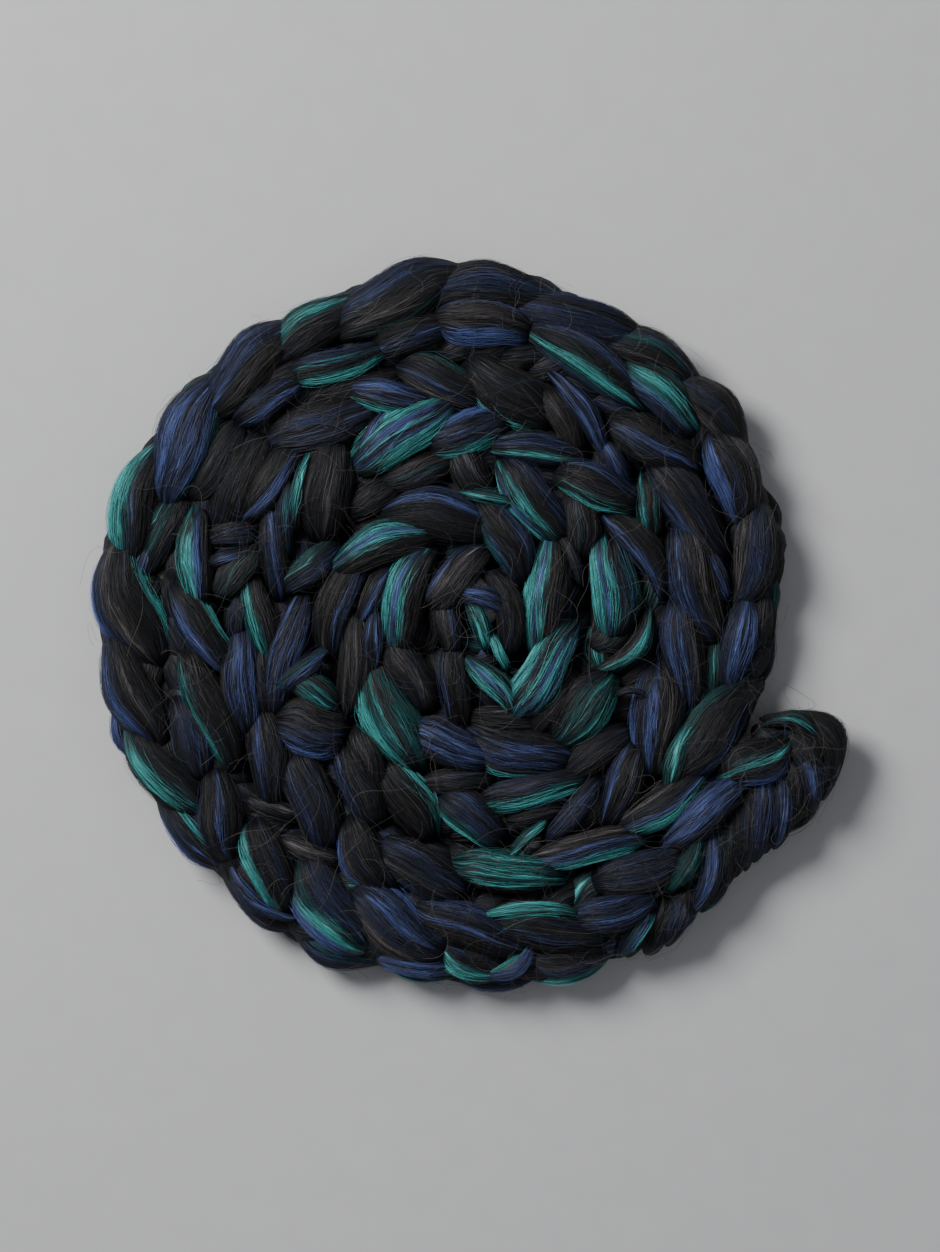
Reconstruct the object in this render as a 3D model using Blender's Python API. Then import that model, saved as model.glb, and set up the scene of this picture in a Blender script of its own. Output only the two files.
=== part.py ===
"""Wool roving: one long strand of combed wool, chained into a braid and wound in a flat spiral.

One closed solid, in metres, +Z up, with its origin on the surface it lies on, under the
middle of its bounding box. Seen from above, an outline of the wound braid is filled with
an even net of points. Each point is raised to the highest fold of the strand over it. The
underside is flat, with a rounded edge all round where the folds turn in.
"""

import bpy
import numpy as np
from mathutils.geometry import delaunay_2d_cdt

MM = 0.001

# Driving sizes, in millimetres.
NET_PITCH = 4.5         # distance between neighbouring points of the upper face
EDGE_PITCH = 5.0        # distance between points along the outline
EDGE_HEIGHT = 9.0       # height at which the wound braid is widest
EDGE_RADIUS = 8.0       # how far in the rounded edge reaches, above and below
BED_HEIGHT = 15.0       # top of the back of the braid, which shows between the folds
FOLD_ROUNDING = 0.9     # fall from a fold's top to its side, as a share of its half width
FOLD_DIP = 11.0         # how far a fold sinks where its ends pass under its neighbours
LEAF_POWER = 0.62       # below 1 gives a fold blunt ends, and 1 pointed ones

# The outline of the wound braid, run round anticlockwise from the notch above the tail.
# Columns: x, y in millimetres. A smooth closed curve passes through every row.
OUTLINE = (
    (130, -33), (133, -20), (140, -2), (140, 16), (144, 38), (142, 51), (132, 60),
    (130, 76), (122, 95), (106, 112), (86, 130), (66, 138), (44, 150), (18, 161),
    (-12, 165), (-35, 158), (-52, 149), (-72, 140), (-90, 137), (-112, 118), (-130, 105),
    (-142, 83), (-156, 64), (-161, 42), (-168, 27), (-168, 8), (-165, -12), (-161, -35),
    (-157, -55), (-147, -74), (-137, -89), (-122, -107), (-104, -122), (-88, -137),
    (-70, -149), (-45, -154), (-22, -160), (8, -165), (38, -163), (60, -152), (90, -147),
    (101, -131), (119, -115), (138, -101), (158, -82), (167, -64), (166, -48), (152, -38),
    (136, -40),
)

# The folds of the strand that show from above, in the order in which the braid runs.
# Each one is a leaf shape, laid along a bowed line between its two ends.
# Columns: x and y of one end, x and y of the other, width, bow to the left of the run,
# place of the widest point along the run from 0 to 1, height of the top. Millimetres.
FOLDS = (
    # tail: the head of the braid
    (  130,   -45,   160,   -80,  17,  18, 0.5 , 25),
    (  140,   -50,   158,   -78,  15,   6, 0.5 , 27),
    (  113,   -70,   148,   -53,  20,  -1, 0.4 , 31),
    # tail: side strands
    (   76,  -150,    90,  -124,  14,  -2, 0.5 , 21),
    # first round, outer row
    (   29,  -149,    63,  -147,  14,  -5, 0.5 , 25),
    (   -6,  -148,    24,  -149,  12,  -2, 0.5 , 22),
    (  -37,  -150,   -77,  -134,  17,   5, 0.5 , 20),
    (  -71,  -135,  -109,  -114,  13,   5, 0.5 , 20),
    ( -104,  -109,  -140,   -81,  14,   3, 0.5 , 23),
    ( -117,   -84,  -153,   -49,  19,   3, 0.5 , 28),
    ( -137,   -55,  -162,    -7,  22,   1, 0.5 , 29),
    ( -138,   -17,  -162,    37,  27,   4, 0.5 , 29),
    ( -151,    26,  -144,    81,  20,   3, 0.45, 27),
    ( -134,    55,  -117,   113,  25,   1, 0.45, 29),
    ( -114,    96,   -83,   138,  24,  -1, 0.45, 30),
    (  -86,   117,   -50,   149,  20,   1, 0.45, 28),
    (  -57,   131,    -5,   161,  26,   1, 0.45, 31),
    (  -16,   146,    40,   150,  20,   3, 0.45, 29),
    (   18,   143,    84,   130,  18,   1, 0.45, 28),
    (   60,   130,   107,   107,  18,   2, 0.45, 26),
    (   96,   109,   129,    80,  20,   0, 0.45, 27),
    (  126,    46,   113,    84,  21,  -1, 0.6 , 30),
    (  123,     8,   137,    55,  20,  -1, 0.6 , 29),
    (  131,   -16,   131,    15,  13,  -2, 0.5 , 23),
    (  118,   -30,   126,    10,  14,   0, 0.5 , 29),
    (   93,   -70,   127,   -27,  25,   1, 0.4 , 31),
    # first round, inner row
    (   92,   -99,   123,   -72,  16,   0, 0.5 , 32),
    (   60,  -117,    98,  -104,  18,  -2, 0.4 , 31),
    (   53,  -133,    85,  -124,  17,  -1, 0.4 , 32),
    (   12,  -135,    62,  -141,  20,   1, 0.4 , 31),
    (  -21,  -129,    26,  -146,  18,   0, 0.45, 31),
    (  -12,  -149,   -48,  -121,  23,   2, 0.6 , 31),
    (  -46,  -144,   -71,  -107,  24,   4, 0.6 , 31),
    (  -79,  -128,   -94,   -91,  19,   3, 0.55, 31),
    ( -107,  -105,  -113,   -68,  18,   1, 0.5 , 30),
    ( -119,   -69,  -129,   -36,  16,   0, 0.5 , 29),
    ( -104,   -67,  -126,   -13,  17,   0, 0.5 , 30),
    ( -107,   -20,  -132,    20,  17,   1, 0.5 , 30),
    ( -120,    10,  -120,    54,  15,   2, 0.5 , 30),
    ( -143,    24,  -128,    56,  13,   0, 0.5 , 24),
    ( -122,    56,  -106,    84,  14,   0, 0.5 , 26),
    ( -109,    41,   -93,    84,  19,   0, 0.5 , 29),
    (  -93,   102,   -68,   118,  12,   0, 0.5 , 26),
    (  -77,   112,   -38,   124,  13,  -2, 0.4 , 31),
    (  -40,   124,    -8,   134,  15,   0, 0.45, 29),
    (  -11,   136,    28,   131,  20,   1, 0.4 , 32),
    (   27,   131,    80,    97,  18,   4, 0.45, 31),
    (   71,   113,   102,    86,  17,   3, 0.45, 30),
    # second round, outer row
    (    3,   115,    37,    90,  24,   0, 0.45, 31),
    (  -28,   114,     7,    99,  18,   2, 0.45, 30),
    (  -51,   104,   -14,    98,  13,   0, 0.4 , 31),
    (  -72,    99,   -30,   112,  12,   0, 0.5 , 26),
    (  -87,    80,   -40,    97,  22,   1, 0.45, 30),
    ( -101,    47,   -76,    79,  16,   0, 0.45, 30),
    ( -110,    14,   -95,    32,  13,   0, 0.4 , 31),
    (  -88,   -14,   -96,    19,  14,   1, 0.5 , 30),
    (  -98,   -49,  -101,    -4,  15,   1, 0.5 , 31),
    (  -86,   -82,   -92,   -40,  17,   0, 0.5 , 30),
    (  -63,  -101,   -76,   -60,  20,   0, 0.6 , 31),
    (  -34,  -119,   -51,   -90,  19,   3, 0.55, 31),
    (  -37,  -102,    -2,  -121,  20,  -1, 0.4 , 31),
    (   -7,  -111,    42,  -115,  17,   1, 0.4 , 32),
    (   30,  -107,    80,   -96,  13,   0, 0.5 , 31),
    (   70,   -93,   106,   -67,  15,  -2, 0.45, 31),
    (   37,   102,    50,    78,  12,   1, 0.4 , 31),
    (   63,    46,    87,    12,  13,   6, 0.45, 31),
    (   66,    -6,    63,    36,  20,  -2, 0.55, 33),
    (   58,   -10,    75,    -2,  12,   0, 0.5 , 26),
    # second round, inner row
    (   65,    89,   104,    69,  17,   1, 0.45, 31),
    (  116,    29,    86,    71,  20,   0, 0.6 , 31),
    (  113,    -8,    97,    42,  21,   2, 0.6 , 32),
    (  101,   -39,    96,     9,  17,   0, 0.6 , 31),
    (   84,   -68,    87,   -21,  22,   0, 0.6 , 32),
    (   64,   -90,    77,   -56,  15,   0, 0.6 , 31),
    (   46,   -94,    62,   -74,  14,   0, 0.5 , 26),
    (    9,   -80,    53,   -70,  14,   0, 0.4 , 32),
    (   20,   -87,    44,   -82,  13,   0, 0.5 , 28),
    (   -9,   -79,    15,   -97,  18,   0, 0.45, 31),
    (  -17,   -95,   -35,   -64,  20,   0, 0.55, 31),
    (  -41,   -90,   -53,   -57,  19,   0, 0.55, 31),
    (  -40,   -72,   -48,   -51,  12,   0, 0.5 , 32),
    (  -82,   -46,   -57,   -50,  25,   0, 0.5 , 33),
    (  -60,   -37,   -77,   -24,  12,   0, 0.5 , 32),
    (  -85,   -41,   -72,    12,  14,   3, 0.5 , 31),
    (  -65,    39,   -61,    80,  24,   0, 0.5 , 33),
    (  -48,    71,    -8,    98,  21,   0, 0.4 , 34),
    (  -15,    80,    18,    89,  18,   1, 0.4 , 32),
    (   13,    79,    53,    75,  13,   1, 0.4 , 31),
    (  -37,    63,    -5,    73,  14,   0, 0.5 , 29),
    (  -54,    50,   -30,    62,  14,   0, 0.5 , 27),
    (   -4,    77,     8,    58,  15,   0, 0.5 , 30),
    (   18,    71,    43,    38,  20,   0, 0.45, 33),
    (   43,    65,    75,    52,  17,   3, 0.45, 33),
    (   52,    31,    50,    56,  17,   0, 0.5 , 30),
    # third round and the middle
    (  -35,    46,    11,    39,  21,   6, 0.5 , 35),
    (   24,    19,     7,    52,  17,  -4, 0.5 , 35),
    (   33,   -13,    38,    36,  19,  -1, 0.45, 34),
    (   22,   -40,    47,    -2,  18,   0, 0.35, 36),
    (   41,   -51,    63,   -25,  22,  -2, 0.5 , 33),
    (   29,   -49,    49,   -23,  13,   0, 0.5 , 30),
    (    3,   -48,    47,   -60,  22,  -5, 0.5 , 32),
    (   45,   -67,    72,   -50,  16,   0, 0.5 , 30),
    (  -22,   -50,     9,   -62,  19,   1, 0.4 , 33),
    (  -21,   -64,   -41,   -19,  22,   4, 0.5 , 34),
    (  -17,   -38,   -34,    -9,  17,   0, 0.5 , 32),
    (   -4,   -46,    -6,   -11,  13,   0, 0.5 , 31),
    (  -52,   -40,   -48,     5,  15,   0, 0.5 , 32),
    (  -60,   -15,   -47,    28,  17,   5, 0.5 , 32),
    (  -57,    22,   -14,    37,  17,   6, 0.45, 35),
    (  -29,   -13,   -15,    32,  19,   6, 0.5 , 35),
    (  -14,     8,     8,    31,  17,   1, 0.4 , 36),
    (   -7,   -11,    -9,     9,  12,   0, 0.5 , 33),
    (   16,   -14,     7,    20,  13,  -9, 0.5 , 35),
    (  -80,    16,   -60,    33,  13,   0, 0.45, 31),
)


def smooth_outline():
    """Points every EDGE_PITCH along a closed Catmull-Rom curve through the rows of OUTLINE."""
    knots = np.array(OUTLINE, float)
    before, after, beyond = (np.roll(knots, -shift, axis=0) for shift in (-1, 1, 2))
    u = np.linspace(0.0, 1.0, 16, endpoint=False)[None, :, None]
    slope_in = (after - before)[:, None] / 2
    slope_out = (beyond - knots)[:, None] / 2
    start, end = knots[:, None], after[:, None]
    curve = (
        start * (2 * u**3 - 3 * u**2 + 1) + end * (3 * u**2 - 2 * u**3)
        + slope_in * (u**3 - 2 * u**2 + u) + slope_out * (u**3 - u**2)
    ).reshape(-1, 2)
    curve -= (curve.min(axis=0) + curve.max(axis=0)) / 2
    loop = np.vstack([curve, curve[:1]])
    run = np.concatenate([[0.0], np.cumsum(np.linalg.norm(np.diff(loop, axis=0), axis=1))])
    stops = np.linspace(0.0, run[-1], round(run[-1] / EDGE_PITCH), endpoint=False)
    return np.column_stack([np.interp(stops, run, loop[:, axis]) for axis in (0, 1)])


def distance_inside(points, edge):
    """Distance of each point from the outline, or -1 where the point lies outside it."""
    a, b = edge[None], np.roll(edge, -1, axis=0)[None]
    p = points[:, None]
    along = ((p - a) * (b - a)).sum(-1) / ((b - a) ** 2).sum(-1)
    nearest = a + np.clip(along, 0.0, 1.0)[..., None] * (b - a)
    distance = np.linalg.norm(p - nearest, axis=-1).min(axis=1)
    spans = (a[..., 1] > p[..., 1]) != (b[..., 1] > p[..., 1])
    rise = np.where(spans, b[..., 1] - a[..., 1], 1.0)
    crossing = a[..., 0] + (p[..., 1] - a[..., 1]) * (b[..., 0] - a[..., 0]) / rise
    inside = (spans & (p[..., 0] < crossing)).sum(axis=1) % 2 == 1
    return np.where(inside, distance, -1.0)


def net_points(edge):
    """An even three-way net of points inside the outline, and their distance from it."""
    low, high = edge.min(axis=0), edge.max(axis=0)
    row_pitch = NET_PITCH * np.sqrt(3) / 2
    rows = np.arange(low[1], high[1], row_pitch)
    columns = np.arange(low[0], high[0], NET_PITCH)
    x, y = np.meshgrid(columns, rows)
    x = x + (np.arange(len(rows)) % 2)[:, None] * NET_PITCH / 2
    points = np.column_stack([x.ravel(), y.ravel()])
    distance = distance_inside(points, edge)
    keep = distance > NET_PITCH / 2
    return points[keep], distance[keep]


def fold_height(points):
    """Height of the highest fold over each point. Every fold is a leaf with a round top."""
    x0, y0, x1, y1, width, bow, widest, top = np.array(FOLDS, float).T
    length = np.hypot(x1 - x0, y1 - y0)
    run_x, run_y = (x1 - x0) / length, (y1 - y0) / length
    dx, dy = points[:, :1] - x0, points[:, 1:] - y0
    along = np.clip((dx * run_x + dy * run_y) / length, 0.0, 1.0)
    side = dy * run_x - dx * run_y - 4 * bow * along * (1 - along)
    before = along / (2 * widest)
    after = 0.5 + (along - widest) / (2 * (1 - widest))
    leaf = np.sin(np.pi * np.where(along < widest, before, after)) ** LEAF_POWER
    reach = np.maximum(leaf * width / 2, 0.1)
    height = top - FOLD_DIP * (1 - leaf) - FOLD_ROUNDING * side**2 / reach
    return height.max(axis=1)


def softened(height_of, points):
    """Mean height at each point and at six places round it, so the net follows the folds."""
    turns = np.arange(6) * np.pi / 3
    steps = np.column_stack([np.cos(turns), np.sin(turns)]) * NET_PITCH * 0.4
    around = [np.maximum(height_of(points + step), BED_HEIGHT) for step in steps]
    return np.mean([np.maximum(height_of(points), BED_HEIGHT), *around], axis=0)


def rounded(distance):
    """Quarter circle rising from 0 at the outline to 1 at EDGE_RADIUS inside it."""
    return np.sqrt(1 - (1 - np.minimum(distance / EDGE_RADIUS, 1.0)) ** 2)


def filled(edge, inner):
    """Triangles that fill the outline, using every inner point."""
    points = np.vstack([edge, inner])
    border = [(i, (i + 1) % len(edge)) for i in range(len(edge))]
    face = [list(range(len(edge)))]
    result = delaunay_2d_cdt(points.tolist(), border, face, 1, 1e-6)
    assert len(result[0]) == len(points)
    return np.array([tuple(corner) for corner in result[0]]), np.array(result[2])


def roving_mesh():
    """The closed mesh: the folded upper face and the flat underside, joined at the outline."""
    edge = smooth_outline()
    net, distance = net_points(edge)
    near = distance < EDGE_RADIUS + NET_PITCH
    top, top_faces = filled(edge, net)
    bottom, bottom_faces = filled(edge, net[near])

    raised = softened(fold_height, net)
    top_z = EDGE_HEIGHT + (raised - EDGE_HEIGHT) * rounded(distance)
    bottom_z = EDGE_HEIGHT * (1 - rounded(distance[near]))
    rim_z = np.full(len(edge), EDGE_HEIGHT)
    upper = np.column_stack([top, np.concatenate([rim_z, top_z])])
    lower = np.column_stack([bottom, np.concatenate([rim_z, bottom_z])])[len(edge):]
    shifted = np.where(bottom_faces < len(edge), bottom_faces, bottom_faces + len(net))

    mesh = bpy.data.meshes.new("roving")
    corners = (np.vstack([upper, lower]) * MM).tolist()
    mesh.from_pydata(corners, [], top_faces.tolist() + shifted[:, ::-1].tolist())
    mesh.validate()
    mesh.shade_smooth()
    return mesh


def wool():
    """Dark combed wool: near black with blue in it, rough and a little sheeny."""
    material = bpy.data.materials.new("combed_wool")
    material.use_nodes = True
    shader = material.node_tree.nodes["Principled BSDF"]
    shader.inputs["Base Color"].default_value = (0.018, 0.022, 0.035, 1.0)
    shader.inputs["Roughness"].default_value = 0.75
    shader.inputs["Metallic"].default_value = 0.0
    shader.inputs["Sheen Weight"].default_value = 0.3
    return material


for leftover in list(bpy.data.objects):
    bpy.data.objects.remove(leftover)

roving = bpy.data.objects.new("roving", roving_mesh())
roving.data.materials.append(wool())
bpy.context.scene.collection.objects.link(roving)
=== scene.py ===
"""Looks of a wool roving: a braid of combed wool top, wound in a flat spiral on a table."""

import bpy
import numpy as np
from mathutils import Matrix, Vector


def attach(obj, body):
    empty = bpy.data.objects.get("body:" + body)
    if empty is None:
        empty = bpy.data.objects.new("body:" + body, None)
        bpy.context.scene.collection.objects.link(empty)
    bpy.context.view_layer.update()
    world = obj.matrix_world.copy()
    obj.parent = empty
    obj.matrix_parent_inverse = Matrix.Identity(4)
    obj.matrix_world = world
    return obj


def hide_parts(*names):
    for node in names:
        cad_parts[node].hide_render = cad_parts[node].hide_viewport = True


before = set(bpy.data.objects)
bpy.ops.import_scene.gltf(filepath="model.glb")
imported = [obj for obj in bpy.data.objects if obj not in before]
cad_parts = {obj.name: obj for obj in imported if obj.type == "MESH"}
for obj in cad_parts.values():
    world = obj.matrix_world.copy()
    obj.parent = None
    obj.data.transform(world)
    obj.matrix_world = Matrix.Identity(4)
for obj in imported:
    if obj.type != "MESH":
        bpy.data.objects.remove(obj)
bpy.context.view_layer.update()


# ---- The folds of the braid ----
# Combed wool is a loose rope of long straight fibres. It is chained by hand, so each loop
# shows as a leaf-shaped fold that comes up between its neighbours and dives under the next.
# The fibres run from end to end of a fold and draw together where it dives.

MM = 0.001
FOLD_RINGS = 28         # cross-sections along a fold
FOLD_PLACES = 34        # places round a cross-section
TOP_CROWDING = 0.35     # how much closer together the places lie on the upper side
RING_SPREAD = 12.0      # a lower number draws the cross-sections closer to both ends
FOLD_DEPTH = 0.80       # height of a fold's cross-section, as a share of its width
LEAF_POWER = 0.50       # below 1 gives a fold blunt ends, and 1 pointed ones
PAINTED_DEEP_SHADE = 0.74        # painted shade: how much darker a fold's dyes are made where it is deepest
WOBBLE = 0.06           # unevenness of a fold's width and middle line, as a share of its width
WOBBLE_WAVES = 1.4      # waves of uneven width along a fold
OWN_WAVES = (0.37, 0.61, 1.7)   # numbers that start the waves of each fold at its own place
RIM_PLACES = 90         # directions in which the solid's reach is measured
TUCK = 6.0              # how far inside the rim the ends of the folds along it lie, in mm
TUCK_BOW = 0.9          # how far such a fold bows out for each mm that its ends move in
DARK_GAIN = 0.54        # how far a dark dye spreads into a bright one beside it
FLOOR_GAP = 0.4         # lowest place of any fold above the table, in mm
TWIST = 8.0             # how far fibres drift round a fold on their way along it, in mm
FIBRES_APART = 7.0      # distance in the noise between the fibres of two folds, in mm
BAND_SWAY = 0.05        # how far the bands of dye wander, as a share of a fold's width
BAND_WAVES = (0.5, 1.5) # fewest and most times that they do so
BAND_DRIFT = 0.14       # how far they drift from end to end, as a share of it
CROWN_POWER = 0.7       # below 1 keeps the painted shade off further down a fold's sides
PAINTED_END_SHADE = 11.0         # painted shade: the dive, in mm, that darkens the dyes towards the ends as evenly as a sine wave

# The slivers, which are the thin strands that make up a fold. For the wide ones and the
# narrow ones: fewest round a fold and one more than the most, and least and greatest
# height as a share of the fold's half width.
WIDE_SLIVERS = ((3, 8), (0.01, 0.06))
NARROW_SLIVERS = ((9, 17), (0.005, 0.015))
SLIVER_POWER = 1.2      # above 1 gives the ridges wider creases
SLIVER_UNEVEN = 0.30    # unevenness of their widths
SLIVER_WIND = 0.16      # how far they wind round a fold from end to end, in turns
SLIVER_SWAY = 0.012     # how far they wander from side to side, in turns
SLIVER_WAVES = (0.6, 1.6)   # fewest and most times that they do so

# How the folds of a group end. Columns, in mm: how far a fold runs on past the ends that
# the table gives, how far its crest sinks as it narrows, and how much further at the very
# ends. Those at the rim have nothing to run under, so they stop short and stay high.
AT_RIM = (5.0, 12.0, 3.0)
INSIDE = (7.0, 13.0, 9.0)
FOLD_ENDS = {
    "end_head": (1.0, 10.0, 3.0),
    "end_strands": (2.0, 12.0, 3.0),
    "round_1_outer": AT_RIM,
}

# The dyed colours that the wool is blended from, by the letter that the tables use.
DYES = {
    "K": (0.0080, 0.0079, 0.0086),  # black
    "G": (0.0340, 0.0300, 0.0305),  # grey brown
    "P": (0.1250, 0.1120, 0.1060),  # pale grey
    "N": (0.0120, 0.0170, 0.0410),  # navy
    "B": (0.0550, 0.0820, 0.2200),  # royal blue
    "T": (0.0560, 0.3050, 0.2960),  # teal
    "D": (0.0070, 0.0560, 0.0560),  # dark teal
}

# One row a fold, in the order in which the braid runs. Columns: x and y of one end, x and y
# of the other, greatest width, bow to the left of the run, place of the widest point along
# the run from 0 to 1, height of the crest, all in mm, and the dyes across it, left to right.
FOLDS = {}
FOLDS["end_head"] = (
    (128, -96, 161, -72, 17, -2, 0.5, 15, "KKNKNK"),
    (157, -80, 158, -55, 15, -2, 0.5, 16, "KKDKKK"),
    (157, -53, 132, -50, 17, 3, 0.5, 18, "KNKKKK"),
    (133, -44, 161, -80, 18, 18, 0.5, 26, "KKKGKK"),
    (132, -48, 161, -57, 7, 9, 0.45, 29, "KDTTDG"),
    (130, -48, 147, -61, 13, 1, 0.4, 25, "KKDKK"),
    (140, -50, 158, -78, 15, 6, 0.5, 27, "KKGKKK"),
    (152, -48, 160, -79, 16, 3, 0.45, 24, "KKNKKN"),
    (113, -70, 148, -53, 20, -1, 0.4, 31, "KKKKKDTTTKGKBB"),
)
FOLDS["end_strands"] = (
    (147, -57, 156, -84, 8.5, 4, 0.6, 28.5, "NBBN"),
    (148, -62, 153, -85, 8, 2, 0.5, 24, "DKDK"),
    (144, -58, 149, -89, 8, 2, 0.5, 26, "KGGK"),
    (141, -62, 145, -94, 8, 3, 0.5, 25, "KDKK"),
    (140, -64, 139, -101, 8, 4, 0.6, 27, "NBBN"),
    (136, -66, 135, -103, 9, 3, 0.5, 25, "KDKK"),
    (132, -66, 130, -107, 11, 3, 0.5, 27, "NBNBN"),
    (126, -70, 126, -111, 8, 2, 0.5, 26, "NGGN"),
    (122, -74, 121, -114, 11, 3, 0.5, 25, "KDKK"),
    (117, -80, 116, -119, 10, 4, 0.5, 24, "KKDK"),
    (120, -105, 107, -130, 6, 2, 0.5, 19, "DTD"),
    (112, -86, 109, -127, 13, 4, 0.5, 25, "KKDKK"),
    (110, -90, 101, -131, 9, 5, 0.6, 28, "NBBN"),
    (105, -92, 98, -124, 10, 3, 0.5, 25, "KKNK"),
    (99, -114, 96, -138, 11, 2, 0.5, 24, "KKNK"),
    (97, -119, 91, -145, 9, 2, 0.5, 25, "NGNBN"),
    (91, -120, 82, -149, 13, 2, 0.5, 23, "KNKGK"),
    (84, -120, 73, -150, 11, 2, 0.5, 23, "KNKK"),
    (84, -125, 69, -150, 8, 1, 0.5, 27, "TBDN"),
)
FOLDS["round_1_outer"] = (
    (29, -160, 65, -144, 6, -8, 0.5, 19, "DTTT"),
    (29, -149, 63, -147, 14, -5, 0.5, 25, "KGKKKGBN"),
    (-9, -145, 15, -159, 8, -5, 0.45, 25, "KDTTT"),
    (9, -160, 28, -143, 7, -5, 0.5, 26, "TBBB"),
    (-6, -148, 24, -149, 12, -2, 0.5, 22, "KGKKK"),
    (-5, -159, 31, -160, 8, -4, 0.5, 14, "BNGNB"),
    (-41, -154, -6, -152, 10, -2, 0.5, 24, "NBBBB"),
    (-37, -155, -2, -156, 7, -4, 0.5, 15, "NKKT"),
    (-37, -150, -77, -134, 17, 5, 0.5, 20, "NNBDBDBTDB"),
    (-71, -135, -109, -114, 13, 5, 0.5, 20, "NNKGKKNBKK"),
    (-74, -131, -104, -108, 5, 9, 0.5, 27, "NBBB"),
    (-84, -127, -102, -106, 10, 4, 0.5, 24, "KKGKK"),
    (-104, -109, -140, -81, 14, 3, 0.5, 23, "BNKBNKKTTD"),
    (-152, -62, -159, -36, 7, 2, 0.5, 14, "BBN"),
    (-117, -84, -153, -49, 19, 3, 0.5, 28, "KTTTTDKKKKKK"),
    (-137, -55, -162, -7, 22, 1, 0.5, 29, "NBBNKGPKKKKK"),
    (-138, -17, -162, 37, 27, 4, 0.5, 29, "BNGPGKKKKKKT"),
    (-151, 26, -144, 81, 20, 3, 0.45, 27, "TTTTDBGKKKKK"),
    (-134, 55, -117, 113, 25, 1, 0.45, 29, "NBBBNBBNBBD"),
    (-114, 96, -83, 138, 24, -1, 0.45, 30, "NBNBNKGGKK"),
    (-86, 117, -50, 149, 20, 1, 0.45, 28, "DTTDGKKKKK"),
    (-57, 131, -5, 161, 26, 1, 0.45, 31, "NNBNKKGPGKDK"),
    (-16, 146, 40, 150, 20, 3, 0.45, 29, "KNBNNNKKGK"),
    (18, 143, 84, 130, 18, 1, 0.45, 28, "NNKNBNGNNK"),
    (60, 130, 107, 107, 18, 2, 0.45, 26, "KNDDKKKKKK"),
    (96, 109, 129, 80, 20, 0, 0.45, 27, "KKKNNKGGK"),
    (126, 46, 113, 84, 21, -1, 0.6, 30, "BBBBKGNGKKGPG"),
    (123, 8, 137, 55, 20, -1, 0.6, 29, "GPGNNBNNGKK"),
    (139, 1, 135, 23, 7, -1, 0.5, 17, "DDTD"),
    (131, -16, 131, 15, 13, -2, 0.5, 23, "KGKGGKK"),
    (131, -26, 137, 0, 8, -2, 0.5, 17, "KKK"),
    (118, -30, 126, 10, 14, 0, 0.5, 29, "NNBBBBB"),
    (93, -70, 127, -28, 24, 0, 0.4, 31, "DDDKKKKKKKKBN"),
    (92, -74, 106, -43, 10, 3, 0.35, 31, "DTTTDDK"),
)
FOLDS["round_1_inner"] = (
    (92, -99, 123, -72, 16, 0, 0.5, 32, "NBBBBBBBBNG"),
    (60, -117, 98, -104, 18, -2, 0.4, 31, "NGNNGNNNGGK"),
    (91, -118, 102, -98, 7, -4, 0.5, 30.5, "DDTD"),
    (51, -134, 83, -125, 17, -1, 0.4, 32, "NBNNNBBNK"),
    (12, -135, 62, -141, 20, 1, 0.4, 31, "KTKGNKGKBNKK"),
    (9, -134, 51, -133, 5, 5, 0.45, 33, "TTT"),
    (-21, -129, 26, -146, 18, 0, 0.45, 31, "NBNGNKBBNKGK"),
    (-12, -149, -48, -121, 23, 2, 0.6, 31, "GPGNGNBBNBNB"),
    (-46, -144, -71, -107, 24, 4, 0.6, 31, "BNDDDNNBNNNNK"),
    (-47, -145, -76, -118, 15, 5, 0.45, 30.5, "BBTTTDTDN"),
    (-79, -128, -94, -91, 19, 3, 0.55, 31, "TTTKKKGKNNKK"),
    (-107, -105, -113, -68, 18, 1, 0.5, 30, "NKGGKBBKKKK"),
    (-119, -69, -129, -36, 16, 0, 0.5, 29, "NKNNGNBNGBN"),
    (-104, -67, -126, -13, 17, 0, 0.5, 30, "DTDKKKKGKKK"),
    (-107, -20, -130, 16, 17, 1, 0.5, 30, "NBBNKKKKKT"),
    (-120, 8, -120, 50, 15, 2, 0.4, 30, "DTTTTBBNKK"),
    (-143, 24, -128, 56, 13, 0, 0.5, 24, "KDDKKNK"),
    (-122, 56, -102, 88, 17, -1, 0.55, 27.5, "KKNKGK"),
    (-109, 41, -93, 84, 19, 0, 0.5, 29, "KKNKNKGKGKNK"),
    (-101, 91, -75, 107, 11, 1, 0.4, 30, "NNBKNBBN"),
    (-93, 102, -68, 118, 12, 0, 0.5, 26, "KKK"),
    (-77, 112, -38, 124, 13, -2, 0.4, 31, "NNTNKDTT"),
    (-40, 124, -8, 134, 15, 0, 0.45, 29, "GGKGNBNNK"),
    (-11, 136, 28, 131, 20, 1, 0.4, 32, "BGGGGGKBBBB"),
    (27, 131, 80, 97, 18, 4, 0.45, 31, "NNBNKKKKDTTTDN"),
    (71, 113, 102, 86, 17, 3, 0.45, 30, "DKTTTDTBNN"),
)
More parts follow.
